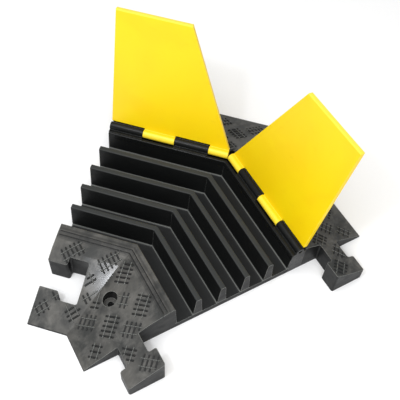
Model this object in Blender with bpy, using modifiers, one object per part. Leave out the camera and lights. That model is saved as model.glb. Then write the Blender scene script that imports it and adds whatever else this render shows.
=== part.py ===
"""Five channel floor cord cover, the section that turns a cable run by 45 degrees.

One moulded rubber base carries five open channels round the bend between two ramps. Two yellow
lids, one for each arm, swing on steel pins in the knuckles along the outer ramp. The lids stand
open, leaning 14 degrees past upright.

Units are metres, +Z is up. Plan sizes are given in arm coordinates: run is the distance along
an arm, from the foot of the square to the inner toe's corner, and across is the distance from
the inner toe towards the outer toe. The two arms mirror each other about the plane of the bend.
"""
import math

import bmesh
import bpy
from mathutils import Matrix, Vector

# Plan of the section
TURN = math.radians(45.0)
TOTAL_WIDTH = 0.500
INNER_TOE_RUN = 0.063
TOE_HEIGHT = 0.0035

# Ramp outline, measured from the toe it belongs to
RAMP_BREAK_ACROSS = 0.110
RAMP_BREAK_HEIGHT = 0.051
SHOULDER_ACROSS = 0.137
SHOULDER_HEIGHT = 0.058
CREST_ACROSS = 0.150
CREST_HEIGHT = 0.060

# Channels and the dividers between them
CHANNEL_COUNT = 5
CHANNEL_PITCH = 0.042
FIRST_DIVIDER_ACROSS = 0.185
DIVIDER_TOP_WIDTH = 0.0087
DIVIDER_HEIGHT = 0.054
RAIL_ACROSS = 0.356
RAIL_HEIGHT = 0.047
FLOOR_HEIGHT = 0.011
INNER_DRAFT = 0.004
OUTER_DRAFT = 0.003
FOOT_RADIUS = 0.003
TOP_RADIUS = 0.0018
TOE_RADIUS = 0.0012

# Hinge, knuckles and pin
HINGE_ACROSS = 0.370
HINGE_HEIGHT = 0.052
KNUCKLE_RADIUS = 0.0072
TROUGH_RADIUS = 0.0105
TROUGH_START = math.radians(8.0)
TROUGH_PIECES = 8
KNUCKLE_BREAKS = (0.060, 0.117, 0.178)
KNUCKLE_END_GAP = 0.0006
KNUCKLE_FOOT_FRONT = 0.0125
KNUCKLE_FOOT_BACK = 0.014
KNUCKLE_FOOT_TOP = 0.0495
KNUCKLE_FOOT_BOTTOM = 0.030
PIN_RADIUS = 0.003
PIN_BORE_RADIUS = 0.0035
PIN_INSET = 0.002

# Lids
LID_OPEN = math.radians(104.0)
LID_UNDERSIDE = 0.0025
LID_THICKNESS = 0.0067
LID_LENGTH = 0.219
LID_NOTCH = 0.0094
LID_NOTCH_GAP = 0.0005
LID_TAB_INSET = 0.0004
LID_END_INSET = 0.0008
LID_MITRE_GAP = 0.0010
LID_EDGE_BEVEL = 0.0010

# Tongues on the right end, slots for them on the left end
TONGUE_CENTRE = 0.0725
NECK_WIDTH = 0.034
NECK_LENGTH = 0.033
HEAD_WIDTH = 0.058
HEAD_LENGTH = 0.0295
SLOT_CLEARANCE = 0.0015
HEAD_CORNER_RADIUS = 0.003
NECK_CORNER_RADIUS = 0.0035

# Counterbored anchor hole in the inner ramp
ANCHOR_RUN = -0.008
ANCHOR_ACROSS = 0.077
ANCHOR_COUNTERBORE_RADIUS = 0.0115
ANCHOR_COUNTERBORE_FLOOR = 0.018
ANCHOR_HOLE_RADIUS = 0.005

# Finishes: sRGB hex colour, roughness, metallic
FINISHES = {
    "black_rubber": ("2B2D2D", 0.48, 0.0),
    "yellow_urethane": ("F3D60C", 0.42, 0.0),
    "steel_rod": ("9A9C9E", 0.35, 1.0),
}

HALF = TURN / 2.0
SLOPE = math.tan(HALF)
LEFT, RIGHT = -1, 1

# How far a tool reaches past what it cuts, and how finely round shapes are made
PAST = 0.010
KNUCKLE_SIDES = 24
PIN_SIDES = 12
ARC_STEP = math.radians(22.5)


def hex_to_linear(code):
    """Turn an sRGB hex colour into the linear RGBA that a shader takes."""
    channels = [int(code[i:i + 2], 16) / 255.0 for i in (0, 2, 4)]
    linear = [c / 12.92 if c <= 0.04045 else ((c + 0.055) / 1.055) ** 2.4 for c in channels]
    return (*linear, 1.0)


def make_finish(name):
    """Make one plain material from its line in FINISHES."""
    code, roughness, metallic = FINISHES[name]
    material = bpy.data.materials.new(name)
    material.use_nodes = True
    shader = material.node_tree.nodes["Principled BSDF"]
    shader.inputs["Base Color"].default_value = hex_to_linear(code)
    shader.inputs["Roughness"].default_value = roughness
    shader.inputs["Metallic"].default_value = metallic
    return material


def plan(side, run, across):
    """Turn arm coordinates into plan x and y."""
    x = run * math.cos(HALF) + across * math.sin(HALF)
    y = across * math.cos(HALF) - run * math.sin(HALF)
    return side * x, y


def centre_of_plan():
    """Find the middle of the section's outline on the floor."""
    head_reach = INNER_TOE_RUN + NECK_LENGTH + HEAD_LENGTH
    head_edge = TOTAL_WIDTH - TONGUE_CENTRE + HEAD_WIDTH / 2.0
    corner = HEAD_CORNER_RADIUS
    bulge_x, _ = plan(RIGHT, head_reach - corner, head_edge - corner)
    left_x, _ = plan(LEFT, INNER_TOE_RUN, TOTAL_WIDTH)
    _, near_y = plan(RIGHT, INNER_TOE_RUN, 0.0)
    far_y = TOTAL_WIDTH / math.cos(HALF)
    return (bulge_x + corner + left_x) / 2.0, (near_y + far_y) / 2.0


def rounded(corners, step=ARC_STEP):
    """Turn corners (x, y, radius) into an outline whose corners are arcs."""
    outline = []
    count = len(corners)
    for index, (x, y, radius) in enumerate(corners):
        here = Vector((x, y))
        if radius <= 0.0:
            outline.append(here)
            continue
        before = (Vector(corners[index - 1][:2]) - here).normalized()
        after = (Vector(corners[(index + 1) % count][:2]) - here).normalized()
        half_angle = before.angle(after) / 2.0
        centre = here + (before + after).normalized() * (radius / math.sin(half_angle))
        reach = radius / math.tan(half_angle)
        start = here + before * reach - centre
        end = here + after * reach - centre
        sweep = start.angle_signed(end)
        pieces = max(1, round(abs(sweep) / step))
        for piece in range(pieces + 1):
            turn = Matrix.Rotation(-sweep * piece / pieces, 2)
            outline.append(centre + turn @ start)
    return outline


def ramp_height(toe_distance):
    """Height of a ramp's top at a distance from its toe."""
    knots = ((0.0, TOE_HEIGHT), (RAMP_BREAK_ACROSS, RAMP_BREAK_HEIGHT),
             (SHOULDER_ACROSS, SHOULDER_HEIGHT), (CREST_ACROSS, CREST_HEIGHT))
    for (x0, z0), (x1, z1) in zip(knots, knots[1:]):
        if toe_distance <= x1:
            return z0 + (z1 - z0) * (toe_distance - x0) / (x1 - x0)
    return CREST_HEIGHT


def arm_profile():
    """Outline of an arm's section, as (across, height)."""
    wall = HINGE_ACROSS + TROUGH_RADIUS
    corners = [(0.0, 0.0, 0.0), (TOTAL_WIDTH, 0.0, 0.0), (TOTAL_WIDTH, TOE_HEIGHT, TOE_RADIUS),
               (TOTAL_WIDTH - RAMP_BREAK_ACROSS, RAMP_BREAK_HEIGHT, 0.0),
               (wall, ramp_height(TOTAL_WIDTH - wall), 0.0)]
    lip = math.asin((HINGE_HEIGHT - RAIL_HEIGHT) / TROUGH_RADIUS)
    for piece in range(TROUGH_PIECES + 1):
        angle = -TROUGH_START - (math.pi - lip - TROUGH_START) * piece / TROUGH_PIECES
        corners.append((HINGE_ACROSS + TROUGH_RADIUS * math.cos(angle),
                        HINGE_HEIGHT + TROUGH_RADIUS * math.sin(angle), 0.0))
    corners += [(RAIL_ACROSS, RAIL_HEIGHT, TOP_RADIUS),
                (RAIL_ACROSS - INNER_DRAFT, FLOOR_HEIGHT, FOOT_RADIUS)]
    for index in reversed(range(CHANNEL_COUNT - 1)):
        near = FIRST_DIVIDER_ACROSS + index * CHANNEL_PITCH
        far = near + DIVIDER_TOP_WIDTH
        corners += [(far + OUTER_DRAFT, FLOOR_HEIGHT, FOOT_RADIUS),
                    (far, DIVIDER_HEIGHT, TOP_RADIUS), (near, DIVIDER_HEIGHT, TOP_RADIUS),
                    (near - INNER_DRAFT, FLOOR_HEIGHT, FOOT_RADIUS)]
    corners += [(CREST_ACROSS + OUTER_DRAFT, FLOOR_HEIGHT, FOOT_RADIUS),
                (CREST_ACROSS, CREST_HEIGHT, TOP_RADIUS), (SHOULDER_ACROSS, SHOULDER_HEIGHT, 0.0),
                (RAMP_BREAK_ACROSS, RAMP_BREAK_HEIGHT, 0.0), (0.0, TOE_HEIGHT, TOE_RADIUS)]
    return rounded(corners)


def put_in(collection, name, mesh, material=None):
    """Make an object of a mesh and put it in a collection."""
    thing = bpy.data.objects.new(name, mesh)
    collection.objects.link(thing)
    if material:
        mesh.materials.append(material)
    return thing


def as_cutter(thing):
    """Mark an object as a tool that shapes others and isn't a part."""
    thing.hide_render = True
    thing.display_type = "WIRE"
    return thing


def prism_mesh(name, outline, low, high, matrix):
    """Fill a flat outline, extrude it from low to high and place it by a matrix."""
    curve = bpy.data.curves.new(name, "CURVE")
    curve.dimensions = "2D"
    curve.fill_mode = "BOTH"
    curve.extrude = (high - low) / 2.0
    spline = curve.splines.new("POLY")
    spline.points.add(len(outline) - 1)
    spline.use_cyclic_u = True
    for point, (x, y) in zip(spline.points, outline):
        point.co = (x, y, 0.0, 1.0)
    guide = bpy.data.objects.new(name, curve)
    bpy.context.scene.collection.objects.link(guide)
    evaluated = guide.evaluated_get(bpy.context.evaluated_depsgraph_get())
    mesh = bpy.data.meshes.new_from_object(evaluated)
    bpy.data.objects.remove(guide)
    mesh.transform(matrix @ Matrix.Translation((0.0, 0.0, (high + low) / 2.0)))
    body = bmesh.new()
    body.from_mesh(mesh)
    bmesh.ops.remove_doubles(body, verts=body.verts, dist=0.000001)
    bmesh.ops.recalc_face_normals(body, faces=body.faces)
    body.to_mesh(mesh)
    body.free()
    mesh.name = name
    return mesh


def rod_mesh(name, radius, low, high, matrix, sides):
    """Make a round rod along local z from low to high and place it by a matrix."""
    mesh = bpy.data.meshes.new(name)
    body = bmesh.new()
    middle = Matrix.Translation((0.0, 0.0, (low + high) / 2.0))
    half_side = Matrix.Rotation(math.pi / sides, 4, "Z")
    bmesh.ops.create_cone(body, cap_ends=True, segments=sides, radius1=radius, radius2=radius,
                          depth=high - low, matrix=matrix @ middle @ half_side)
    bmesh.ops.recalc_face_normals(body, faces=body.faces)
    body.to_mesh(mesh)
    body.free()
    return mesh


def block_mesh(name, low, high, matrix):
    """Make a box between two corners and place it by a matrix."""
    mesh = bpy.data.meshes.new(name)
    body = bmesh.new()
    size = [b - a for a, b in zip(low, high)]
    middle = [(a + b) / 2.0 for a, b in zip(low, high)]
    local = Matrix.Translation(middle) @ Matrix.Diagonal((*size, 1.0))
    bmesh.ops.create_cube(body, size=1.0, matrix=matrix @ local)
    bmesh.ops.recalc_face_normals(body, faces=body.faces)
    body.to_mesh(mesh)
    body.free()
    return mesh


def combine(target, tool, operation):
    """Join a tool to a part or cut it from the part."""
    modifier = target.modifiers.new(tool.name, "BOOLEAN")
    modifier.object = tool
    modifier.operation = operation
    modifier.solver = "MANIFOLD"


def section_matrix():
    """Matrix whose x runs across the right arm, y up and z along it."""
    run = Vector((math.cos(HALF), -math.sin(HALF), 0.0))
    across = Vector((math.sin(HALF), math.cos(HALF), 0.0))
    up = Vector((0.0, 0.0, 1.0))
    return Matrix((across, up, run)).transposed().to_4x4()


def knuckle_runs(of_lid):
    """Stretches of the hinge, as (low run, high run), held by the lid or by the base."""
    mitre = -HINGE_ACROSS * SLOPE
    lid_end = mitre + KNUCKLE_RADIUS * SLOPE + LID_NOTCH_GAP
    breaks = [INNER_TOE_RUN + PAST] + [INNER_TOE_RUN - b for b in KNUCKLE_BREAKS] + [lid_end]
    stretches = [(breaks[i + 1], breaks[i]) for i in range(4)]
    gap = KNUCKLE_END_GAP / 2.0
    chosen = stretches[1::2] if of_lid else stretches[0::2]
    return [(low if low == lid_end else low + gap, high - gap) for low, high in chosen]


def end_outline(side, tongues_out):
    """Outline, in plan, of what is cut off an arm's end, round tongues or into slots."""
    sign = 1.0 if tongues_out else -1.0
    slack = 0.0 if tongues_out else SLOT_CLEARANCE
    end = INNER_TOE_RUN
    neck, head = NECK_WIDTH / 2.0 + slack, HEAD_WIDTH / 2.0 + slack
    near = end + sign * (NECK_LENGTH - slack)
    far = end + sign * (NECK_LENGTH + HEAD_LENGTH + slack)
    corners = [(end, -PAST, 0.0)]
    root_radius = NECK_CORNER_RADIUS / 2.0
    for middle in (TONGUE_CENTRE, TOTAL_WIDTH - TONGUE_CENTRE):
        corners += [(end, middle - neck, root_radius), (near, middle - neck, NECK_CORNER_RADIUS),
                    (near, middle - head, HEAD_CORNER_RADIUS), (far, middle - head, HEAD_CORNER_RADIUS),
                    (far, middle + head, HEAD_CORNER_RADIUS), (near, middle + head, HEAD_CORNER_RADIUS),
                    (near, middle + neck, NECK_CORNER_RADIUS), (end, middle + neck, root_radius)]
    reach = end + NECK_LENGTH + HEAD_LENGTH + 2.0 * PAST
    corners += [(end, TOTAL_WIDTH + PAST, 0.0), (reach, TOTAL_WIDTH + PAST, 0.0), (reach, -PAST, 0.0)]
    return [plan(side, run, across) for run, across in rounded(corners)]


def make_base(parts, cutters, material):
    """Mould the base: both arms, knuckles, tongues, slots and anchor hole."""
    section = section_matrix()
    mitre_reach = -TOTAL_WIDTH * SLOPE - PAST
    arm_reach = INNER_TOE_RUN + NECK_LENGTH + HEAD_LENGTH + PAST
    arm = prism_mesh("base", arm_profile(), mitre_reach, arm_reach, section)
    base = put_in(parts, "base", arm, material)
    axis = section @ Matrix.Translation((HINGE_ACROSS, HINGE_HEIGHT, 0.0))
    for number, (low, high) in enumerate(knuckle_runs(of_lid=False), 1):
        foot = block_mesh(f"knuckle_foot_{number}",
                          (HINGE_ACROSS - KNUCKLE_FOOT_FRONT, KNUCKLE_FOOT_BOTTOM, low),
                          (HINGE_ACROSS + KNUCKLE_FOOT_BACK, KNUCKLE_FOOT_TOP, high), section)
        combine(base, as_cutter(put_in(cutters, f"knuckle_foot_{number}", foot)), "UNION")
        barrel = rod_mesh(f"knuckle_{number}", KNUCKLE_RADIUS, low, high, axis, KNUCKLE_SIDES)
        combine(base, as_cutter(put_in(cutters, f"knuckle_{number}", barrel)), "UNION")
    bore = rod_mesh("pin_bore", PIN_BORE_RADIUS, mitre_reach, arm_reach, axis, PIN_SIDES)
    combine(base, as_cutter(put_in(cutters, "pin_bore", bore)), "DIFFERENCE")
    mirror = base.modifiers.new("other_arm", "MIRROR")
    mirror.use_axis = (True, False, False)
    mirror.use_bisect_axis = (True, False, False)
    mirror.merge_threshold = 0.00001
    tall = CREST_HEIGHT + PAST
    for name, side, tongues_out in (("right_end", RIGHT, True), ("left_end", LEFT, False)):
        waste = prism_mesh(name, end_outline(side, tongues_out), -PAST, tall, Matrix.Identity(4))
        combine(base, as_cutter(put_in(cutters, name, waste)), "DIFFERENCE")
    x, y = plan(RIGHT, ANCHOR_RUN, ANCHOR_ACROSS)
    upright = Matrix.Translation((x, y, 0.0))
    wide = rod_mesh("anchor_counterbore", ANCHOR_COUNTERBORE_RADIUS, ANCHOR_COUNTERBORE_FLOOR, tall,
                    upright, KNUCKLE_SIDES)
    combine(base, as_cutter(put_in(cutters, "anchor_counterbore", wide)), "DIFFERENCE")
    narrow = rod_mesh("anchor_hole", ANCHOR_HOLE_RADIUS, -PAST, tall, upright, KNUCKLE_SIDES)
    combine(base, as_cutter(put_in(cutters, "anchor_hole", narrow)), "DIFFERENCE")
    return base


def hinge_matrix(side):
    """Matrix on an arm's hinge axis: x along it, y to the closed lid's free edge, z up."""
    inward = Vector((-side * math.sin(HALF), -math.cos(HALF), 0.0))
    up = Vector((0.0, 0.0, 1.0))
    x, y = plan(side, 0.0, HINGE_ACROSS)
    matrix = Matrix((inward.cross(up), inward, up)).transposed().to_4x4()
    matrix.translation = (x, y, HINGE_HEIGHT)
    return matrix


def lid_outline():
    """Outline of a lid's plate, as (run, distance from the hinge axis)."""
    end = INNER_TOE_RUN - LID_END_INSET
    outline = [(end, LID_LENGTH), (end, LID_NOTCH)]
    for low, high in knuckle_runs(of_lid=True):
        low, high = low + LID_TAB_INSET, high - LID_TAB_INSET
        outline += [(high, LID_NOTCH), (high, 0.0), (low, 0.0)]
        mitre_side = low < -HINGE_ACROSS * SLOPE + PAST
        if not mitre_side:
            outline.append((low, LID_NOTCH))
    slant = KNUCKLE_RADIUS + LID_MITRE_GAP
    outline.append((outline[-1][0], slant))
    for distance in (slant, LID_LENGTH):
        outline.append((-(HINGE_ACROSS - distance) * SLOPE + LID_MITRE_GAP, distance))
    return [point for i, point in enumerate(outline) if point != outline[i - 1]]


def make_lid(parts, cutters, side, material):
    """Mould one lid: a plate with barrels that turn on the pin, standing open."""
    name = "lid_left" if side == LEFT else "lid_right"
    flip = Matrix.Diagonal((-side, 1.0, 1.0, 1.0))
    plate = prism_mesh(name, lid_outline(), LID_UNDERSIDE, LID_UNDERSIDE + LID_THICKNESS, flip)
    lid = put_in(parts, name, plate, material)
    bevel = lid.modifiers.new("soft_edges", "BEVEL")
    bevel.width = LID_EDGE_BEVEL
    bevel.segments = 2
    bevel.limit_method = "ANGLE"
    bevel.angle_limit = math.radians(60.0)
    barrel_axis = Matrix.Rotation(math.pi / 2.0, 4, "Y")
    for number, (low, high) in enumerate(knuckle_runs(of_lid=True), 1):
        span = (low, high) if side == LEFT else (-high, -low)
        barrel = rod_mesh(f"{name}_barrel_{number}", KNUCKLE_RADIUS, *span, barrel_axis, KNUCKLE_SIDES)
        combine(lid, as_cutter(put_in(cutters, f"{name}_barrel_{number}", barrel)), "UNION")
    reach = TOTAL_WIDTH * SLOPE
    bore = rod_mesh(f"{name}_bore", PIN_BORE_RADIUS, -reach, reach, barrel_axis, PIN_SIDES)
    combine(lid, as_cutter(put_in(cutters, f"{name}_bore", bore)), "DIFFERENCE")
    return lid


def place_on_hinge(thing, side, angle):
    """Put a piece modelled on its hinge axis into place, opened by an angle."""
    thing.matrix_world = hinge_matrix(side) @ Matrix.Rotation(angle, 4, "X")


def make_pin(parts, side, material):
    """Make the steel rod that one lid turns on."""
    name = "hinge_pin_left" if side == LEFT else "hinge_pin_right"
    low = -HINGE_ACROSS * SLOPE + KNUCKLE_RADIUS
    high = INNER_TOE_RUN - PIN_INSET
    span = (low, high) if side == LEFT else (-high, -low)
    rod = rod_mesh(name, PIN_RADIUS, *span, Matrix.Rotation(math.pi / 2.0, 4, "Y"), PIN_SIDES)
    return put_in(parts, name, rod, material)


def main():
    """Clear the scene and build every piece."""
    for thing in list(bpy.data.objects):
        bpy.data.objects.remove(thing)
    parts = bpy.data.collections.new("floor_cord_cover")
    cutters = bpy.data.collections.new("cutters")
    for collection in (parts, cutters):
        bpy.context.scene.collection.children.link(collection)
    finishes = {name: make_finish(name) for name in FINISHES}
    centre_x, centre_y = centre_of_plan()
    origin = bpy.data.objects.new("section_origin", None)
    parts.objects.link(origin)
    make_base(parts, cutters, finishes["black_rubber"])
    for side in (LEFT, RIGHT):
        lid = make_lid(parts, cutters, side, finishes["yellow_urethane"])
        place_on_hinge(lid, side, LID_OPEN)
        tools = [thing for thing in cutters.objects if thing.name.startswith(lid.name + "_")]
        for tool in tools:
            tool.matrix_world = lid.matrix_world.copy()
        pin = make_pin(parts, side, finishes["steel_rod"])
        place_on_hinge(pin, side, 0.0)
    bpy.context.view_layer.update()
    for thing in [*parts.objects, *cutters.objects]:
        if thing is not origin:
            world = thing.matrix_world.copy()
            thing.parent = origin
            thing.matrix_world = world
    origin.location = (-centre_x, -centre_y, 0.0)
    bpy.context.view_layer.update()


main()
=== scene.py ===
"""Dress the five channel floor cord cover and set it in a plain studio.

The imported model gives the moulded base, both lids and the hinge pins. This script gives them their
finishes, adds the raised tread, the lines along the inner ramp's top strip and the lids' grip
bars, and sets the floor, the lights and the camera. Units are metres, +Z is up.

Places on an arm are given as run and across: run is the distance along the arm, from the foot of
the square to the inner toe's corner, and across is the distance from the inner toe towards the
outer toe. The two arms mirror each other about the plane of the bend.
"""
from __future__ import annotations

import logging
import math
from dataclasses import dataclass
from enum import Enum
from typing import Callable, Iterable

import bmesh
import bpy
from mathutils import Matrix, Vector


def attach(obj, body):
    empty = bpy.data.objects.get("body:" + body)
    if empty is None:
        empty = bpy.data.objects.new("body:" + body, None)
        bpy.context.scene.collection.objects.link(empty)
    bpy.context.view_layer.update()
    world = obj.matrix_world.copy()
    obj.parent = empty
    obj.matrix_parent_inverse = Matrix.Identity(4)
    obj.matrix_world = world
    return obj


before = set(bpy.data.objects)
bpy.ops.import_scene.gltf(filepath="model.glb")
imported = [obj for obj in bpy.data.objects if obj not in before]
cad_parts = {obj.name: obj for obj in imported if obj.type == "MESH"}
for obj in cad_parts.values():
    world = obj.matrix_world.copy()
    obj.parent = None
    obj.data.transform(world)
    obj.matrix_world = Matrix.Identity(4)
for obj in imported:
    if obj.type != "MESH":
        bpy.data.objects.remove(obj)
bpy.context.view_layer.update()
LOG = logging.getLogger("cord_cover")


class Arm(Enum):
    """The two arms of the bend, valued by the sign of their x."""

    LEFT = -1
    RIGHT = 1


class Ramp(Enum):
    """The two ramps of an arm."""

    INNER = "inner"
    OUTER = "outer"


def linear_colour(code: str) -> tuple[float, float, float, float]:
    """Turn an sRGB hex colour into linear RGBA.

    Args:
        code: Six hex digits.

    Returns:
        Red, green, blue and an alpha of 1.
    """
    channels = [int(code[i:i + 2], 16) / 255.0 for i in (0, 2, 4)]
    # The numbers are those of the sRGB standard
    red, green, blue = (
        c / 12.92 if c <= 0.04045 else ((c + 0.055) / 1.055) ** 2.4 for c in channels)
    return red, green, blue, 1.0


def add_node(tree: bpy.types.NodeTree, kind: str, sockets: dict | None = None,
             output: int | str = 0, **options: object) -> bpy.types.NodeSocket:
    """Add a node, set its options and sockets, and link those given another node's output.

    Args:
        tree: The material's node tree.
        kind: Blender's name for the node.
        sockets: Inputs, by name or number, with a value or an output to link.
        output: Name or number of the output that is wanted.
        options: Properties of the node and their values.

    Returns:
        The wanted output.
    """
    node = tree.nodes.new(kind)
    for name, value in options.items():
        setattr(node, name, value)
    for name, value in (sockets or {}).items():
        if isinstance(value, bpy.types.NodeSocket):
            tree.links.new(value, node.inputs[name])
        else:
            node.inputs[name].default_value = value
    return node.outputs[output]


def per_metre(size_mm: float) -> float:
    """Turn the size of a pattern's features in millimetres into a texture scale."""
    return 1000.0 / size_mm


@dataclass(frozen=True)
class Section:
    """Sizes of the moulded section that the added pieces have to follow."""

    half_turn: float = math.radians(22.5)
    total_width: float = 0.500
    end_run: float = 0.063
    # Distance from the toe and height of each break in a ramp
    knots: tuple[tuple[float, float], ...] = (
        (0.0, 0.0035), (0.110, 0.051), (0.137, 0.058), (0.150, 0.060))
    centre: tuple[float, float] = (0.020088, 0.258544)
    hinge_across: float = 0.370
    hinge_height: float = 0.052
    lid_open: float = math.radians(104.0)
    lid_face: float = 0.0092
    lid_length: float = 0.219

    def place(self, arm: Arm, run: float, across: float, height: float) -> Vector:
        """Find a point of an arm in the model's frame.

        Args:
            arm: Which arm.
            run: Distance along the arm.
            across: Distance from the inner toe.
            height: Height over the floor.

        Returns:
            The point.
        """
        sine, cosine = math.sin(self.half_turn), math.cos(self.half_turn)
        x = arm.value * (run * cosine + across * sine)
        y = across * cosine - run * sine
        return Vector((x - self.centre[0], y - self.centre[1], height))

    def across(self, ramp: Ramp, toe_distance: float) -> float:
        """Turn the distance from a ramp's own toe into the distance from the inner toe."""
        return toe_distance if ramp is Ramp.INNER else self.total_width - toe_distance

    def ramp_height(self, toe_distance: float) -> float:
        """Find a ramp's height at a distance from its toe.

        Args:
            toe_distance: Distance from the toe.

        Returns:
            Height over the floor.
        """
        for (near, low), (far, high) in zip(self.knots, self.knots[1:]):
            if toe_distance <= far:
                return low + (high - low) * (toe_distance - near) / (far - near)
        return self.knots[-1][1]

    def mitre_run(self, across: float) -> float:
        """Find the run at which an arm meets the plane of the bend."""
        return -across * math.tan(self.half_turn)

    def draw_across(self, tree: bpy.types.NodeTree,
                    place: bpy.types.NodeSocket) -> bpy.types.NodeSocket:
        """Work out, in a material, how far a point of the base lies from the inner toe.

        Args:
            tree: The material's node tree.
            place: Where on the base a point lies.

        Returns:
            The distance across, the same on both arms.
        """
        sine, cosine = math.sin(self.half_turn), math.cos(self.half_turn)
        x = add_node(tree, "ShaderNodeSeparateXYZ", {"Vector": place}, "X")
        y = add_node(tree, "ShaderNodeSeparateXYZ", {"Vector": place}, "Y")
        from_bend = add_node(tree, "ShaderNodeMath", {0: x, 1: self.centre[0]}, operation="ADD")
        from_bend = add_node(tree, "ShaderNodeMath", {0: from_bend}, operation="ABSOLUTE")
        forward = add_node(tree, "ShaderNodeMath", {0: y, 1: cosine, 2: self.centre[1] * cosine},
                           operation="MULTIPLY_ADD")
        return add_node(tree, "ShaderNodeMath", {0: from_bend, 1: sine, 2: forward},
                        operation="MULTIPLY_ADD")

    def lid_matrix(self, arm: Arm) -> Matrix:
        """Find where an open lid sits on its hinge.

        Args:
            arm: Which arm.

        Returns:
            The matrix: x along the pin, y to the free edge and z out of the lid's top.
        """
        inward = Vector((-arm.value * math.sin(self.half_turn), -math.cos(self.half_turn), 0.0))
        up = Vector((0.0, 0.0, 1.0))
        matrix = Matrix((inward.cross(up), inward, up)).transposed().to_4x4()
        matrix.translation = self.place(arm, 0.0, self.hinge_across, self.hinge_height)
        return matrix @ Matrix.Rotation(self.lid_open, 4, "X")


SECTION = Section()


@dataclass(frozen=True)
class Grain:
    """A pattern of noise: the size of its features in millimetres, its detail and its stretch."""

    size_mm: float
    detail: float = 3.0
    roughness: float = 0.55
    distortion: float = 0.0
    stretch: tuple[float, float, float] = (1.0, 1.0, 1.0)

    def draw(self, tree: bpy.types.NodeTree, place: bpy.types.NodeSocket) -> bpy.types.NodeSocket:
        """Add the noise to a material.

        Args:
            tree: The material's node tree.
            place: Where on the object a point lies.

        Returns:
            The noise's value.
        """
        mapped = add_node(tree, "ShaderNodeMapping", {"Vector": place, "Scale": self.stretch})
        return add_node(tree, "ShaderNodeTexNoise", {
            "Vector": mapped, "Scale": per_metre(self.size_mm), "Detail": self.detail,
            "Roughness": self.roughness, "Distortion": self.distortion}, "Fac")


@dataclass(frozen=True)
class Zone:
    """A band of a value with soft sides, such as the base between two distances across."""

    low: float
    high: float
    blur: float

    def draw(self, tree: bpy.types.NodeTree, value: bpy.types.NodeSocket,
             share: float = 1.0) -> bpy.types.NodeSocket:
        """Mark the band in a material.

        Args:
            tree: The material's node tree.
            value: What the band is a band of.
            share: The mark's height inside the band.

        Returns:
            0 outside the band to the share inside it.
        """
        rising = add_node(tree, "ShaderNodeMapRange", {
            "Value": value, "From Min": self.low - self.blur, "From Max": self.low,
            "To Max": share}, interpolation_type="SMOOTHSTEP")
        falling = add_node(tree, "ShaderNodeMapRange", {
            "Value": value, "From Min": self.high, "From Max": self.high + self.blur,
            "To Min": 1.0, "To Max": 0.0}, interpolation_type="SMOOTHSTEP")
        return add_node(tree, "ShaderNodeMath", {0: rising, 1: falling}, operation="MULTIPLY")


@dataclass(frozen=True)
class EdgeWearAndHighlight:
    """The edges of a moulding, softened by the mould, worn pale by shoes and wheels and painted pale
    as a highlight on their rounding.

    An edge is found where the softened normal turns away from the face's own: the two are as like
    as flat_likeness where the pale mark begins, and as edge_likeness where it is full.
    """

    reach: float
    share: float
    flat_likeness: float = 0.99
    edge_likeness: float = 0.80
    samples: int = 6

    def draw(self, tree: bpy.types.NodeTree) -> tuple[bpy.types.NodeSocket, bpy.types.NodeSocket]:
        """Find the edges in a material.

        Args:
            tree: The material's node tree.

        Returns:
            The pale mark of worn edges and painted highlight, from 0 on the flats to the share on an
            edge, and the softened normal.
        """
        softened = add_node(tree, "ShaderNodeBevel", {"Radius": self.reach}, samples=self.samples)
        flat = add_node(tree, "ShaderNodeNewGeometry", output="True Normal")
        likeness = add_node(tree, "ShaderNodeVectorMath", {0: softened, 1: flat}, "Value",
                            operation="DOT_PRODUCT")
        edge_wear_and_highlight = add_node(tree, "ShaderNodeMapRange", {
            "Value": likeness, "From Min": self.flat_likeness, "From Max": self.edge_likeness,
            "To Max": self.share}, interpolation_type="SMOOTHSTEP")
        return edge_wear_and_highlight, softened


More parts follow.
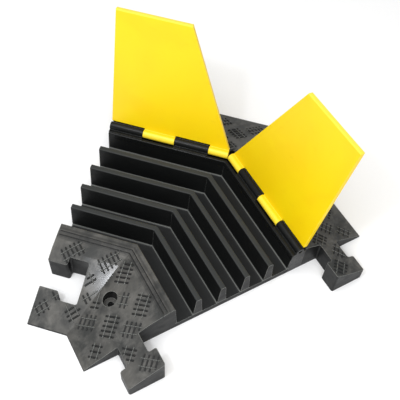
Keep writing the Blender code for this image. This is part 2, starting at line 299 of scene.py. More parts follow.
@dataclass(frozen=True)
class MouldedRubber:
    """Black SBR rubber, pressed hot in a steel mould.

    The eye reads it as charcoal with a soft sheen: brown and grey bloom in broad clouds on the
    ramps that shoes tread, plain grey on the dividers and glossy black on the knuckles that the
    lids rub. Painted shade makes the channels between the dividers darker and upright walls nearly
    black, and lies as a contact shadow along the lowest few millimetres; a painted highlight lies
    along the foot of each wall, and the pale edges are partly worn and partly painted highlight. A
    span below is the stretch of a pattern's values over which its effect grows from nothing to full.
    """

    name: str = "moulded_sbr_rubber"
    deep: str = "121313"
    body: str = "323332"
    cloud: str = "4F4E4B"
    bloom: str = "7A7874"
    divider: str = "303232"
    # Channel floors and lower walls are painted darker than the dividers' tops, as shade in the
    # recess
    channel: str = "222323"
    # Pale tone of worn edges, which also paints highlights on the edges and along the walls' feet
    rubbed: str = "9A9C98"
    gloss_low: float = 0.38
    gloss_high: float = 0.58
    # Carbon black soaks up the light under the skin, so the skin mirrors less than clear rubber
    skin_gloss: float = 0.17
    ior: float = 1.52
    # The edges' pale mark is partly worn and partly painted highlight on their rounding
    edges: EdgeWearAndHighlight = EdgeWearAndHighlight(0.0014, 0.70)
    # Bloom lies in clouds about 48 mm wide with smears of about 17 mm, as the photograph shows them
    clouds: Grain = Grain(48.0, 4.0, 0.60, 0.4)
    cloud_span: tuple[float, float] = (0.36, 0.64)
    smears: Grain = Grain(17.0, 5.0, 0.66, 0.3, (1.0, 0.6, 1.0))
    smear_span: tuple[float, float] = (0.42, 0.76)
    smear_share: float = 0.44
    gloss_span: tuple[float, float] = (0.30, 0.72)
    # The mould's grit is 0.3 mm, drawn at 1.1 mm so that it shows
    grit: Grain = Grain(1.1, 2.0)
    grit_depth: float = 0.0003
    # Uneven shrinking leaves shallow waves about 22 mm long
    waves: Grain = Grain(22.0, 1.0)
    wave_depth: float = 0.004
    # The rubber's flow leaves lines 1 mm apart along the ramp's top strip, drawn at 3 mm to show
    flow: Grain = Grain(3.0, 2.0, 0.5)
    flow_span: tuple[float, float] = (0.32, 0.60)
    flow_share: float = 0.52
    # Upright faces are painted near black as shade: a face is upright below the first share of an
    # upward normal, and keeps its full tone above the second
    upright_shade_span: tuple[float, float] = (0.30, 0.92)
    # Bands of the distance across: the channels, the hinge rail and the ramp's top strip
    channels: Zone = Zone(0.1505, 0.3552, 0.0006)
    hinge: Zone = Zone(0.3550, 0.3806, 0.0005)
    hinge_gloss: float = 0.45
    # The hinge rail keeps less of the pale edge mark, worn and painted
    hinge_shelter: float = 0.85
    strip: Zone = Zone(0.1290, 0.1440, 0.0050)
    # Bands of height: the dividers' upper part, below which the channels are painted darker as
    # shade, and the painted highlight on the fillet at a wall's foot, just over the channel's floor
    dividers: Zone = Zone(0.0400, 0.0600, 0.0200)
    foot: Zone = Zone(0.0119, 0.0132, 0.0006)
    foot_share: float = 0.45
    # The lowest 4 mm are painted dark as a contact shadow
    contact_shadow: Zone = Zone(-0.0010, 0.0026, 0.0016)
    # One patch of the ramp is polished: full within the near distance, gone past the far one
    polish_place: tuple[float, float, float] = (-0.0262, -0.1587, 0.044)
    polish_near: float = 0.030
    polish_far: float = 0.052
    polish_gloss: float = 0.30
    # Strength of the waves and the grit as a share of the dullness, and what polish takes off it
    wave_strength: tuple[float, float] = (0.20, -0.04)
    grit_strength: tuple[float, float] = (0.28, -0.08)

    def colour(self, tree: bpy.types.NodeTree, place: bpy.types.NodeSocket,
               across: bpy.types.NodeSocket, edge_wear_and_highlight: bpy.types.NodeSocket) -> bpy.types.NodeSocket:
        """Lay the tones over one another, from the clouds up to the pale edges, worn and painted as
        highlight, and the painted contact shadow.

        Args:
            tree: The material's node tree.
            place: Where on the object a point lies.
            across: Its distance from the inner toe.
            edge_wear_and_highlight: How much of an edge it is.

        Returns:
            The colour.
        """
        deep = linear_colour(self.deep)
        facing = add_node(tree, "ShaderNodeTexCoord", output="Normal")
        upward = add_node(tree, "ShaderNodeSeparateXYZ", {"Vector": facing}, "Z")
        height = add_node(tree, "ShaderNodeSeparateXYZ", {"Vector": place}, "Z")
        open_to_light = add_node(tree, "ShaderNodeMapRange", {
            "Value": upward, "From Min": self.upright_shade_span[0], "From Max": self.upright_shade_span[1]},
            interpolation_type="SMOOTHSTEP")
        cloudy = add_node(tree, "ShaderNodeMapRange", {
            "Value": self.clouds.draw(tree, place), "From Min": self.cloud_span[0],
            "From Max": self.cloud_span[1]}, interpolation_type="SMOOTHSTEP")
        smeared = add_node(tree, "ShaderNodeMapRange", {
            "Value": self.smears.draw(tree, place), "From Min": self.smear_span[0],
            "From Max": self.smear_span[1], "To Max": self.smear_share},
            interpolation_type="SMOOTHSTEP")
        tone = add_node(tree, "ShaderNodeMix", {
            0: cloudy, 6: linear_colour(self.body), 7: linear_colour(self.cloud)}, 2,
            data_type="RGBA")
        tone = add_node(tree, "ShaderNodeMix", {
            0: smeared, 6: tone, 7: linear_colour(self.bloom)}, 2, data_type="RGBA")
        line = add_node(tree, "ShaderNodeCombineXYZ", {"X": across})
        flowing = add_node(tree, "ShaderNodeMapRange", {
            "Value": self.flow.draw(tree, line), "From Min": self.flow_span[0],
            "From Max": self.flow_span[1], "To Max": self.flow_share},
            interpolation_type="SMOOTHSTEP")
        flowing = add_node(tree, "ShaderNodeMath", {
            0: flowing, 1: self.strip.draw(tree, across)}, operation="MULTIPLY")
        tone = add_node(tree, "ShaderNodeMix", {0: flowing, 6: tone, 7: deep}, 2, data_type="RGBA")
        # Below the dividers' upper part the channels are painted darker as shade
        inside = add_node(tree, "ShaderNodeMix", {
            0: self.dividers.draw(tree, height), 6: linear_colour(self.channel),
            7: linear_colour(self.divider)}, 2, data_type="RGBA")
        in_channels = self.channels.draw(tree, across)
        tone = add_node(tree, "ShaderNodeMix", {0: in_channels, 6: tone, 7: inside}, 2,
                        data_type="RGBA")
        at_hinge = self.hinge.draw(tree, across)
        tone = add_node(tree, "ShaderNodeMix", {0: at_hinge, 6: tone, 7: deep}, 2, data_type="RGBA")
        # Upright faces are painted near black as shade
        tone = add_node(tree, "ShaderNodeMix", {0: open_to_light, 6: deep, 7: tone}, 2, data_type="RGBA")
        sheltered = add_node(tree, "ShaderNodeMath", {
            0: at_hinge, 1: -self.hinge_shelter, 2: 1.0}, operation="MULTIPLY_ADD")
        # A painted highlight along the fillet at each wall's foot in the channels
        foot_highlight = add_node(tree, "ShaderNodeMath", {
            0: self.foot.draw(tree, height, self.foot_share), 1: in_channels},
            operation="MULTIPLY")
        # Edges are paler where worn and as painted highlight, less so on the hinge rail
        rubbed = add_node(tree, "ShaderNodeMath", {0: edge_wear_and_highlight, 1: sheltered}, operation="MULTIPLY")
        rubbed = add_node(tree, "ShaderNodeMath", {0: rubbed, 1: foot_highlight}, operation="MAXIMUM")
        tone = add_node(tree, "ShaderNodeMix", {
            0: rubbed, 6: tone, 7: linear_colour(self.rubbed)}, 2, data_type="RGBA")
        # The lowest millimetres are painted dark as a contact shadow
        return add_node(tree, "ShaderNodeMix", {
            0: self.contact_shadow.draw(tree, height), 6: tone, 7: deep}, 2, data_type="RGBA")

    def make(self) -> bpy.types.Material:
        """Make the material.

        Returns:
            The finished material.
        """
        material = bpy.data.materials.new(self.name)
        material.use_nodes = True
        tree = material.node_tree
        shader = tree.nodes["Principled BSDF"]
        place = add_node(tree, "ShaderNodeTexCoord", output="Object")
        across = SECTION.draw_across(tree, place)
        edge_wear_and_highlight, softened = self.edges.draw(tree)
        tree.links.new(self.colour(tree, place, across, edge_wear_and_highlight), shader.inputs["Base Color"])
        rough = add_node(tree, "ShaderNodeMapRange", {
            "Value": self.smears.draw(tree, place), "From Min": self.gloss_span[0],
            "From Max": self.gloss_span[1], "To Min": self.gloss_low, "To Max": self.gloss_high})
        distance = add_node(tree, "ShaderNodeVectorMath", {0: place, 1: self.polish_place},
                            "Value", operation="DISTANCE")
        dull = add_node(tree, "ShaderNodeMapRange", {
            "Value": distance, "From Min": self.polish_near, "From Max": self.polish_far,
            "To Min": self.polish_gloss}, interpolation_type="SMOOTHSTEP")
        glossy = add_node(tree, "ShaderNodeMath", {
            0: 1.0, 1: self.hinge.draw(tree, across, self.hinge_gloss)}, operation="SUBTRACT")
        rough = add_node(tree, "ShaderNodeMath", {0: rough, 1: dull}, operation="MULTIPLY")
        rough = add_node(tree, "ShaderNodeMath", {0: rough, 1: glossy}, operation="MULTIPLY")
        tree.links.new(rough, shader.inputs["Roughness"])
        lift = add_node(tree, "ShaderNodeMath", {
            0: dull, 1: self.wave_strength[0], 2: self.wave_strength[1]}, operation="MULTIPLY_ADD")
        swell = add_node(tree, "ShaderNodeBump", {
            "Height": self.waves.draw(tree, place), "Strength": lift, "Distance": self.wave_depth,
            "Normal": softened})
        bite = add_node(tree, "ShaderNodeMath", {
            0: dull, 1: self.grit_strength[0], 2: self.grit_strength[1]}, operation="MULTIPLY_ADD")
        tooth = add_node(tree, "ShaderNodeBump", {
            "Height": self.grit.draw(tree, place), "Strength": bite, "Distance": self.grit_depth,
            "Normal": swell})
        tree.links.new(tooth, shader.inputs["Normal"])
        shader.inputs["Specular IOR Level"].default_value = self.skin_gloss
        shader.inputs["IOR"].default_value = self.ior
        shader.inputs["Metallic"].default_value = 0.0
        return material


@dataclass(frozen=True)
class MouldedUrethane:
    """Yellow polyurethane, cast in a polished mould.

    The eye reads it as an even, saturated yellow with a satin skin, a little deeper where the
    melt flowed together. Its barrels and its free edge carry a painted highlight, the free edge
    most, and its moulded edges are paler where worn and as painted highlight.
    """

    name: str = "moulded_yellow_polyurethane"
    body: str = "ECCC05"
    flow: str = "EBC704"
    # Pale tone for worn edges, which also paints the highlights on edges, barrels and free edge
    pale: str = "FBE24A"
    grime: str = "BE9A18"
    gloss_low: float = 0.34
    gloss_high: float = 0.46
    skin_gloss: float = 0.38
    ior: float = 1.50
    edges: EdgeWearAndHighlight = EdgeWearAndHighlight(0.0012, 0.60)
    # Bands of height on an open lid that are painted paler as highlights: the hinge's barrels and
    # the free edge
    barrels: Zone = Zone(0.0, 0.0580, 0.0015)
    barrel_share: float = 0.5
    free_edge: Zone = Zone(0.2616, 0.2700, 0.0005)
    free_edge_share: float = 0.8
    # The melt's flow leaves broad drifts of tone, about 90 mm wide
    drift: Grain = Grain(90.0, 2.0, 0.5, 0.8)
    drift_span: tuple[float, float] = (0.35, 0.65)
    # Fine scuffs about 6 mm long, stretched across the lid
    scuffs: Grain = Grain(6.0, 4.0, 0.6, 0.5, (0.35, 1.0, 1.0))
    scuff_span: tuple[float, float] = (0.58, 0.80)
    scuff_share: float = 0.12
    gloss_span: tuple[float, float] = (0.35, 0.70)
    # The skin's orange peel is 0.5 mm, drawn at 1.4 mm so that it shows
    peel: Grain = Grain(1.4, 1.0)
    peel_strength: float = 0.12
    peel_depth: float = 0.0003

    def make(self) -> bpy.types.Material:
        """Make the material.

        Returns:
            The finished material.
        """
        material = bpy.data.materials.new(self.name)
        material.use_nodes = True
        tree = material.node_tree
        shader = tree.nodes["Principled BSDF"]
        place = add_node(tree, "ShaderNodeTexCoord", output="Object")
        scuffs = self.scuffs.draw(tree, place)
        drifting = add_node(tree, "ShaderNodeMapRange", {
            "Value": self.drift.draw(tree, place), "From Min": self.drift_span[0],
            "From Max": self.drift_span[1]}, interpolation_type="SMOOTHSTEP")
        scuffed = add_node(tree, "ShaderNodeMapRange", {
            "Value": scuffs, "From Min": self.scuff_span[0], "From Max": self.scuff_span[1],
            "To Max": self.scuff_share}, interpolation_type="SMOOTHSTEP")
        edge_wear_and_highlight, softened = self.edges.draw(tree)
        height = add_node(tree, "ShaderNodeSeparateXYZ", {"Vector": place}, "Z")
        # The barrels and the free edge are painted paler as highlights
        for zone, share in ((self.barrels, self.barrel_share),
                            (self.free_edge, self.free_edge_share)):
            edge_wear_and_highlight = add_node(tree, "ShaderNodeMath", {
                0: edge_wear_and_highlight, 1: zone.draw(tree, height, share)}, operation="MAXIMUM")
        tone = add_node(tree, "ShaderNodeMix", {
            0: drifting, 6: linear_colour(self.body), 7: linear_colour(self.flow)}, 2,
            data_type="RGBA")
        tone = add_node(tree, "ShaderNodeMix", {
            0: scuffed, 6: tone, 7: linear_colour(self.grime)}, 2, data_type="RGBA")
        # Edges, barrels and free edge take the pale tone as painted highlight, edges partly worn
        tone = add_node(tree, "ShaderNodeMix", {
            0: edge_wear_and_highlight, 6: tone, 7: linear_colour(self.pale)}, 2, data_type="RGBA")
        tree.links.new(tone, shader.inputs["Base Color"])
        rough = add_node(tree, "ShaderNodeMapRange", {
            "Value": scuffs, "From Min": self.gloss_span[0], "From Max": self.gloss_span[1],
            "To Min": self.gloss_low, "To Max": self.gloss_high})
        tree.links.new(rough, shader.inputs["Roughness"])
        skin = add_node(tree, "ShaderNodeBump", {
            "Height": self.peel.draw(tree, place), "Strength": self.peel_strength,
            "Distance": self.peel_depth, "Normal": softened})
        tree.links.new(skin, shader.inputs["Normal"])
        shader.inputs["Specular IOR Level"].default_value = self.skin_gloss
        shader.inputs["IOR"].default_value = self.ior
        shader.inputs["Metallic"].default_value = 0.0
        return material


@dataclass(frozen=True)
class DrawnSteel:
    """Bright drawn steel rod, cut to length.

    The eye reads it as a grey metal with fine marks of the die and a duller cut face.
    """

    name: str = "drawn_steel_rod"
    bright: str = "B9BABC"
    dull: str = "7C7D80"
    gloss_low: float = 0.28
    gloss_high: float = 0.44
    # The die's marks are 0.2 mm apart, drawn at 0.8 mm so that they show
    marks: Grain = Grain(0.8, 2.0, 0.5)
    gloss_span: tuple[float, float] = (0.3, 0.7)
    mark_strength: float = 0.2
    mark_depth: float = 0.0002

    def make(self) -> bpy.types.Material:
        """Make the material.

        Returns:
            The finished material.
        """
        material = bpy.data.materials.new(self.name)
        material.use_nodes = True
        tree = material.node_tree
        shader = tree.nodes["Principled BSDF"]
        marks = self.marks.draw(tree, add_node(tree, "ShaderNodeTexCoord", output="Object"))
        tone = add_node(tree, "ShaderNodeMix", {
            0: marks, 6: linear_colour(self.bright), 7: linear_colour(self.dull)}, 2,
            data_type="RGBA")
        tree.links.new(tone, shader.inputs["Base Color"])
        rough = add_node(tree, "ShaderNodeMapRange", {
            "Value": marks, "From Min": self.gloss_span[0], "From Max": self.gloss_span[1],
            "To Min": self.gloss_low, "To Max": self.gloss_high})
        tree.links.new(rough, shader.inputs["Roughness"])
        relief = add_node(tree, "ShaderNodeBump", {
            "Height": marks, "Strength": self.mark_strength, "Distance": self.mark_depth})
        tree.links.new(relief, shader.inputs["Normal"])
        shader.inputs["Metallic"].default_value = 1.0
        return material


@dataclass(frozen=True)
class StudioPaper:
    """White background paper, uncoated and matt.

    The eye reads it as a clean pale floor.
    """

    name: str = "white_background_paper"
    bright: str = "F8F8F8"
    dull: str = "F5F5F5"
    roughness: float = 0.9
    skin_gloss: float = 0.1
    # Paper fibres are 1 mm long, drawn at 6 mm so that they show
    fibre: Grain = Grain(6.0, 3.0)

    def make(self) -> bpy.types.Material:
        """Make the material.

        Returns:
            The finished material.
        """
        material = bpy.data.materials.new(self.name)
        material.use_nodes = True
        tree = material.node_tree
        shader = tree.nodes["Principled BSDF"]
        fibre = self.fibre.draw(tree, add_node(tree, "ShaderNodeTexCoord", output="Object"))
        tone = add_node(tree, "ShaderNodeMix", {
            0: fibre, 6: linear_colour(self.bright), 7: linear_colour(self.dull)}, 2,
            data_type="RGBA")
        tree.links.new(tone, shader.inputs["Base Color"])
        shader.inputs["Roughness"].default_value = self.roughness
        shader.inputs["Specular IOR Level"].default_value = self.skin_gloss
        return material


class RibFace(Enum):
    """How a rib's faces look, valued by its material slot on a piece: the short bars in a finish
    painted near black as shade, the long rails in one painted pale as highlight.
    """

    FRESH = 0
    RUBBED = 1


class Ribs:
    """Raised ribs on a moulded face, gathered into one mesh, each with sloping sides."""

    def __init__(self, height: float, foot_width: float, top_width: float,
                 sunk: float = 0.0004) -> None:
        """Start with no ribs.

        Args:
            height: How far a rib stands above its face.
            foot_width: Width at the face.
            top_width: Width of its top.
            sunk: How far it reaches below the face.
        """
        self.height = height
        self.foot_width = foot_width
        self.top_width = top_width
        self.sunk = sunk
        self.mesh = bmesh.new()

    def add(self, stations: list[tuple[Vector, Vector, Vector]],
            look: RibFace = RibFace.FRESH, slimness: float = 1.0) -> None:
        """Add one rib through a row of stations.

        Args:
            stations: Point on the face, direction across the rib and direction out of the face.
            look: Which of the piece's finishes the rib has.
            slimness: Share of the full width that the rib has.
        """
        rings, faces = [], []
        for point, sideways, outward in stations:
            ring = []
            for width, lift in ((-self.foot_width, -self.sunk), (-self.top_width, self.height),
                                (self.top_width, self.height), (self.foot_width, -self.sunk)):
                aside = sideways * (width * slimness / 2.0)
                ring.append(self.mesh.verts.new(point + aside + outward * lift))
            rings.append(ring)
        for near, far in zip(rings, rings[1:]):
            for here, there in ((0, 1), (1, 2), (2, 3)):
                faces.append(self.mesh.faces.new((near[here], near[there], far[there], far[here])))
        faces += [self.mesh.faces.new(rings[0]), self.mesh.faces.new(rings[-1])]
        for face in faces:
            face.material_index = look.value

    def finish(self, name: str, *materials: bpy.types.Material) -> bpy.types.Object:
        """Turn the ribs into an object with its materials.

        Args:
            name: The piece's name.
            materials: Its finishes, in the order of RibFace.

        Returns:
            The object.
        """
        bmesh.ops.recalc_face_normals(self.mesh, faces=self.mesh.faces)
        data = bpy.data.meshes.new(name)
        self.mesh.to_mesh(data)
        self.mesh.free()
        for material in materials:
            data.materials.append(material)
        piece = bpy.data.objects.new(name, data)
        bpy.context.scene.collection.objects.link(piece)
        return piece


@dataclass(frozen=True)
class Grip:
    """One group of tread: two long ribs over a row of short ones, turned 45 degrees to the arm."""

    run: float
    toe_distance: float
    turn: float
    long_length: float = 0.036
    long_gap: float = 0.011
    short_length: float = 0.0225
    short_pitch: float = 0.007
    short_count: int = 5

    def lines(self) -> Iterable[tuple[RibFace, Vector, Vector]]:
        """List the ribs' centre lines.

        Returns:
            The look of each rib and its two ends, in run and distance from the toe.
        """
        turned = Matrix.Rotation(self.turn, 2)
        centre = Vector((self.run, self.toe_distance))
        half = self.long_length / 2.0
        for side in (-0.5, 0.5):
            yield (RibFace.RUBBED, centre + turned @ Vector((-half, side * self.long_gap)),
                   centre + turned @ Vector((half, side * self.long_gap)))
        half = self.short_length / 2.0
        for index in range(self.short_count):
            along = (index - (self.short_count - 1) / 2.0) * self.short_pitch
            yield (RibFace.FRESH, centre + turned @ Vector((along, -half)),
                   centre + turned @ Vector((along, half)))


@dataclass
class RampTread:
    """The raised tread over the ramps, necks and heads, wherever a face carries it."""

    rib_height: float = 0.0014
    rib_foot: float = 0.0030
    rib_top: float = 0.0018
    rail_share: float = 0.62
    step: float = 0.0015
    shortest: float = 0.010
    # How far a rib stays from the toe, from other edges and from the slots' sides
    toe_edge: float = 0.0035
    edge: float = 0.0025
    slot_edge: float = 0.004
    tongue_centre: float = 0.0725
    neck_half: float = 0.017
    neck_length: float = 0.033
    head_half: float = 0.029
    head_length: float = 0.0295
    # Run and distance across of the anchor hole, which only the right arm's inner ramp has
    anchor: tuple[float, float] = (-0.008, 0.077)
    anchor_reach: float = 0.0135
    top_limit: float = 0.129
    # Each row's distance from the toe, its groups' places along the arm, and their turn
    rows: tuple[tuple[float, tuple[float, ...], float], ...] = (
        (0.112, (-0.150, -0.090, -0.030, 0.030), math.radians(-45.0)),
        (0.086, (-0.180, -0.120, -0.060, 0.000, 0.056, 0.113), math.radians(45.0)),
        (0.059, (-0.150, -0.085, -0.024, 0.029, 0.086), math.radians(-45.0)),
        (0.031, (-0.180, -0.115, -0.060, 0.000, 0.114), math.radians(45.0)))
    # A smaller group fills the corner beside the tongue or the slot
    corner: Grip = Grip(0.049, 0.026, math.radians(-45.0), 0.024, 0.009, 0.017, 0.008, 3)

    def grips(self) -> list[Grip]:
        """List the groups of one ramp.

        Returns:
            Groups on a diagonal grid, its rows turned to and fro, and the corner's group.
        """
        grips = [Grip(run, distance, turn) for distance, runs, turn in self.rows for run in runs]
        return grips + [self.corner]

    def carried(self, arm: Arm, ramp: Ramp, run: float, toe_distance: float) -> bool:
        """Tell whether the base has a face under a place on a ramp.

        Args:
            arm: Which arm.
            ramp: Which ramp.
            run: Distance along the arm.
            toe_distance: Distance from the ramp's toe.

        Returns:
            True where a rib may stand.
        """
        across = SECTION.across(ramp, toe_distance)
        if not self.toe_edge < toe_distance < self.top_limit:
            return False
        if run < SECTION.mitre_run(across) + self.edge:
            return False
        off_centre = abs(toe_distance - self.tongue_centre)
        beyond = run - SECTION.end_run
        reach = self.neck_length + self.head_length
        if arm is Arm.LEFT:
            if beyond > -self.edge:
                return False
            if -beyond < self.neck_length:
                return off_centre > self.neck_half + self.slot_edge
            past_head = -beyond >= reach + self.slot_edge
            return past_head or off_centre > self.head_half + self.slot_edge
        if beyond < -self.edge:
            hole_run, hole_across = self.anchor
            from_hole = math.hypot(run - hole_run, across - hole_across)
            return ramp is Ramp.OUTER or from_hole > self.anchor_reach
        half = self.neck_half if beyond < self.neck_length + self.edge else self.head_half
        return off_centre < half - self.edge and beyond < reach - self.edge

    def stretches(self, ends: tuple[Vector, Vector],
                  keep: Callable[[Vector], bool]) -> Iterable[list[Vector]]:
        """Cut a rib's centre line into the stretches that have a face under them.

        Args:
            ends: The line's two ends.
            keep: Tells whether a point is carried.

        Returns:
            Rows of points, none of them shorter than the shortest rib.
        """
        start, end = ends
        count = max(2, round((end - start).length / self.step))
        kept: list[Vector] = []
        for index in range(count + 1):
            point = start.lerp(end, index / count)
            if keep(point):
                kept.append(point)
            if not keep(point) or index == count:
                if len(kept) > 2 and (kept[-1] - kept[0]).length >= self.shortest:
                    yield kept
                kept = []

    def build(self, painted_shade: bpy.types.Material,
              rubbed: bpy.types.Material) -> list[bpy.types.Object]:
        """Build the tread of both arms and both ramps.

        Args:
            painted_shade: Finish of the cross bars.
            rubbed: Finish of the long rails.

        Returns:
            One piece for each arm's ramp.
        """
        pieces = []
        for arm in Arm:
            for ramp in Ramp:
                ribs = Ribs(self.rib_height, self.rib_foot, self.rib_top)
                lines = [line for grip in self.grips() for line in grip.lines()]
                for look, *ends in lines:
                    # Cross bars take the painted-shade finish, rails the pale painted-highlight
                    # finish
                    slimness = self.rail_share if look is RibFace.RUBBED else 1.0
                    for points in self.stretches(
                            ends, lambda spot: self.carried(arm, ramp, spot.x, spot.y)):
                        ribs.add(self.stations(arm, ramp, points), look, slimness)
                piece = ribs.finish(f"tread_{ramp.value}_{arm.name.lower()}", painted_shade, rubbed)
                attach(piece, "base")
                pieces.append(piece)
        return pieces

    def stations(self, arm: Arm, ramp: Ramp,
                 points: list[Vector]) -> list[tuple[Vector, Vector, Vector]]:
        """Lift a centre line from plan onto the ramp.

        Args:
            arm: Which arm.
            ramp: Which ramp.
            points: Places in run and distance from the toe.

        Returns:
            Stations for a rib.
        """
        spots = [SECTION.place(arm, point.x, SECTION.across(ramp, point.y),
                               SECTION.ramp_height(point.y)) for point in points]
        outward = Vector((0.0, 0.0, 1.0))
        along = (spots[-1] - spots[0]).normalized()
        sideways = along.cross(outward).normalized()
        return [(spot, sideways, outward) for spot in spots]


@dataclass
class StripLines:
    """Fine moulded lines that run round the bend along the inner ramp's top strip, in a near-black
    finish that paints the thin lines of shade there.
    """

    across: tuple[float, ...] = (0.1325, 0.1385)
    rib_height: float = 0.0005
    rib_foot: float = 0.0022
    rib_top: float = 0.0010
    end_inset: float = 0.003

    def build(self, material: bpy.types.Material) -> bpy.types.Object:
        """Build the lines from the left end round the bend to the right end.

        Args:
            material: Their finish.

        Returns:
            The piece.
        """
        ribs = Ribs(self.rib_height, self.rib_foot, self.rib_top)
        up = Vector((0.0, 0.0, 1.0))
        end = SECTION.end_run - self.end_inset
        # A line keeps its width round the bend, so it is wider along the mitre
        mitre_width = 1.0 / math.cos(SECTION.half_turn)
        for across in self.across:
            height = SECTION.ramp_height(across)
            row = [SECTION.place(Arm.LEFT, end, across, height),
                   SECTION.place(Arm.LEFT, SECTION.mitre_run(across), across, height),
                   SECTION.place(Arm.RIGHT, end, across, height)]
            sides = [(row[1] - row[0]).cross(up).normalized(), Vector((0.0, -mitre_width, 0.0)),
                     (row[2] - row[1]).cross(up).normalized()]
            ribs.add([(point, side, up) for point, side in zip(row, sides)])
        # The lines take the near-black painted-shade finish
        piece = ribs.finish("strip_lines", material)
        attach(piece, "base")
        return piece


@dataclass
class LidGrip:
    """Slanted grip bars over a lid's outer face, which the photograph doesn't show."""

    bar_length: float = 0.026
    bar_height: float = 0.0010
    bar_foot: float = 0.0042
    bar_top: float = 0.0026
    slant: float = math.radians(45.0)
    pitch_along: float = 0.024
    pitch_up: float = 0.020
    margin: float = 0.009
    first_row: float = 0.026
    # Columns start here, past the longest reach of the mitre
    first_column: int = -9

    def inside(self, run: float, distance: float) -> bool:
        """Tell whether a place lies well inside the lid's plate.

        Args:
            run: Distance along the arm.
            distance: Distance from the hinge.

        Returns:
            True where a bar may stand.
        """
        mitre = SECTION.mitre_run(SECTION.hinge_across - distance)
        in_length = self.margin < distance < SECTION.lid_length - self.margin
        return in_length and mitre + self.margin < run < SECTION.end_run - self.margin

    def build(self, arm: Arm, material: bpy.types.Material) -> bpy.types.Object:
        """Build the bars of one lid.

        Args:
            arm: Which arm's lid.
            material: The bars' finish.

        Returns:
            The piece.
        """
        ribs = Ribs(self.bar_height, self.bar_foot, self.bar_top)
        hinge = SECTION.lid_matrix(arm)
        outward = (hinge.to_3x3() @ Vector((0.0, 0.0, 1.0))).normalized()
        row, distance = 0, self.first_row
        while distance < SECTION.lid_length:
            # Every other row is slanted the other way and shifted by half a column
            odd = row % 2
            slant = self.slant if odd else -self.slant
            half = Vector((math.cos(slant), math.sin(slant))) * (self.bar_length / 2.0)
            column = self.first_column
            while column * self.pitch_along < SECTION.end_run:
                run = (column + 0.5 * odd) * self.pitch_along
                ends = [(run - half.x, distance - half.y), (run + half.x, distance + half.y)]
                if all(self.inside(*end) for end in ends):
                    spots = [hinge @ Vector((-arm.value * along, up, SECTION.lid_face))
                             for along, up in ends]
                    sideways = (spots[1] - spots[0]).cross(outward).normalized()
                    ribs.add([(spot, sideways, outward) for spot in spots])
                column += 1
            row += 1
            distance += self.pitch_up
        side = arm.name.lower()
        piece = ribs.finish(f"grip_bars_{side}", material)
        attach(piece, f"lid_{side}")
        return piece


@dataclass(frozen=True)
class Moulding:
    """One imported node, which keeps its shape and gets its finish."""

    node: str

    def dress(self, material: bpy.types.Material) -> bpy.types.Object:
        """Give the node its finish.

        Args:
            material: The finish.

        Returns:
            The node's object.
        """
        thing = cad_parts[self.node]
        thing.data.materials.clear()
        thing.data.materials.append(material)
        return thing


@dataclass(frozen=True)
class SoftBox:
    """One studio light, a square of cloth lit from behind."""

    name: str
    place: tuple[float, float, float]
    target: tuple[float, float, float]
    size: float
    power: float
    colour: str = "FFFFFF"

    def hang(self) -> bpy.types.Object:
        """Hang the light and turn it to its target.

        Returns:
            The light.
        """
        data = bpy.data.lights.new(self.name, "AREA")
        data.shape = "SQUARE"
        data.size = self.size
        data.energy = self.power
        data.color = linear_colour(self.colour)[:3]
        light = bpy.data.objects.new(self.name, data)
        light.location = self.place
        light.rotation_mode = "QUATERNION"
        aim = Vector(self.target) - Vector(self.place)
        light.rotation_quaternion = aim.to_track_quat("-Z", "Y")
        bpy.context.scene.collection.objects.link(light)
        return light


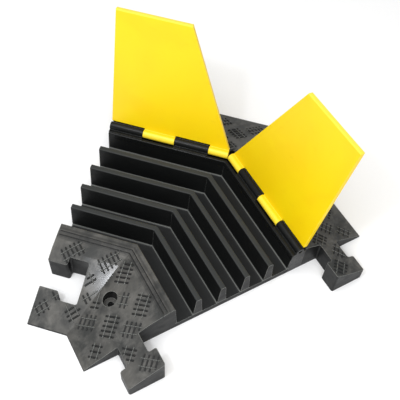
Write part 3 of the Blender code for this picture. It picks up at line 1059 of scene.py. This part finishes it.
@dataclass
class Studio:
    """The floor, the soft boxes and the camera."""

    floor_reach: float = 6.0
    floor_drop: float = 0.0004
    background: str = "FFFFFF"
    background_strength: float = 0.53
    lights: tuple[SoftBox, ...] = (
        SoftBox("overhead_box", (0.0, -0.65, 1.95), (0.0, 0.0, 0.0), 2.0, 33.5),
        SoftBox("front_box", (1.6, -1.4, 1.2), (0.0, 0.1, 0.15), 1.4, 18.5),
        SoftBox("sheen_box", (-0.065, -0.725, 1.36), (-0.02, -0.17, 0.04), 0.13, 4.0, "F6F9FF"),
    )
    # The camera's place is that of the fit to the photograph, its angles in radians
    lens_mm: float = 60.4
    sensor_mm: float = 36.0
    clip_near: float = 0.05
    clip_far: float = 50.0
    yaw: float = -0.6048
    elevation: float = 0.9608
    roll: float = 0.0817
    distance: float = 1.1576
    target: tuple[float, float, float] = (-0.022088, 0.064956, 0.0)

    def lay_floor(self, material: bpy.types.Material) -> bpy.types.Object:
        """Lay the paper that the section stands on.

        Args:
            material: The paper.

        Returns:
            The floor.
        """
        sheet = bmesh.new()
        bmesh.ops.create_grid(sheet, x_segments=4, y_segments=4, size=self.floor_reach)
        data = bpy.data.meshes.new("studio_floor")
        sheet.to_mesh(data)
        sheet.free()
        data.materials.append(material)
        floor = bpy.data.objects.new("studio_floor", data)
        floor.location.z = -self.floor_drop
        bpy.context.scene.collection.objects.link(floor)
        return floor

    def light(self) -> None:
        """Hang the lights and light the room evenly."""
        for box in self.lights:
            box.hang()
        world = bpy.data.worlds.new("studio_room")
        world.use_nodes = True
        room = world.node_tree.nodes["Background"]
        room.inputs["Color"].default_value = linear_colour(self.background)
        room.inputs["Strength"].default_value = self.background_strength
        bpy.context.scene.world = world
        bpy.context.scene.view_settings.view_transform = "Standard"
        bpy.context.scene.view_settings.look = "None"

    def set_camera(self) -> bpy.types.Object:
        """Set the camera where the photograph was taken from.

        Returns:
            The camera.
        """
        data = bpy.data.cameras.new("studio_camera")
        data.lens = self.lens_mm
        data.sensor_width = self.sensor_mm
        data.clip_start, data.clip_end = self.clip_near, self.clip_far
        flat = math.cos(self.elevation)
        forward = Vector((math.sin(self.yaw) * flat, math.cos(self.yaw) * flat,
                          -math.sin(self.elevation)))
        level = Vector((math.cos(self.yaw), -math.sin(self.yaw), 0.0))
        upright = level.cross(forward)
        right = level * math.cos(self.roll) + upright * math.sin(self.roll)
        up = upright * math.cos(self.roll) - level * math.sin(self.roll)
        camera = bpy.data.objects.new("studio_camera", data)
        matrix = Matrix((right, up, -forward)).transposed().to_4x4()
        matrix.translation = Vector(self.target) - forward * self.distance
        camera.matrix_world = matrix
        bpy.context.scene.collection.objects.link(camera)
        bpy.context.scene.camera = camera
        return camera


def main() -> None:
    """Build and dress every piece in order."""
    logging.basicConfig(level=logging.INFO, format="%(name)s: %(message)s")
    rubber = MouldedRubber().make()
    urethane = MouldedUrethane().make()
    steel = DrawnSteel().make()
    # The cross bars and the strip's lines are painted near black as shade
    painted_shade = MouldedRubber("moulded_sbr_rubber_fresh", deep="0C0D0D", body="141515",
                          cloud="1C1D1D", bloom="2C2C2B", rubbed="4A4B4A").make()
    # The long rails are pale grey, partly worn by shoes and wheels and partly painted as a highlight
    rubbed = MouldedRubber("moulded_sbr_rubber_rubbed", deep="30312F", body="4A4B49",
                           cloud="5C5C59", bloom="706F6B", rubbed="8C8E8B").make()
    finishes = {"base": rubber, "lid_left": urethane, "lid_right": urethane,
                "hinge_pin_left": steel, "hinge_pin_right": steel}
    for node, material in finishes.items():
        thing = Moulding(node).dress(material)
        LOG.info("%s: %d faces", thing.name, len(thing.data.polygons))
    for piece in RampTread().build(painted_shade, rubbed):
        LOG.info("%s: %d faces", piece.name, len(piece.data.polygons))
    lines = StripLines().build(painted_shade)
    LOG.info("%s: %d faces", lines.name, len(lines.data.polygons))
    for arm in Arm:
        bars = LidGrip().build(arm, urethane)
        LOG.info("%s: %d faces", bars.name, len(bars.data.polygons))
    studio = Studio()
    studio.lay_floor(StudioPaper().make())
    studio.light()
    studio.set_camera()


if __name__ == "__main__":
    main()
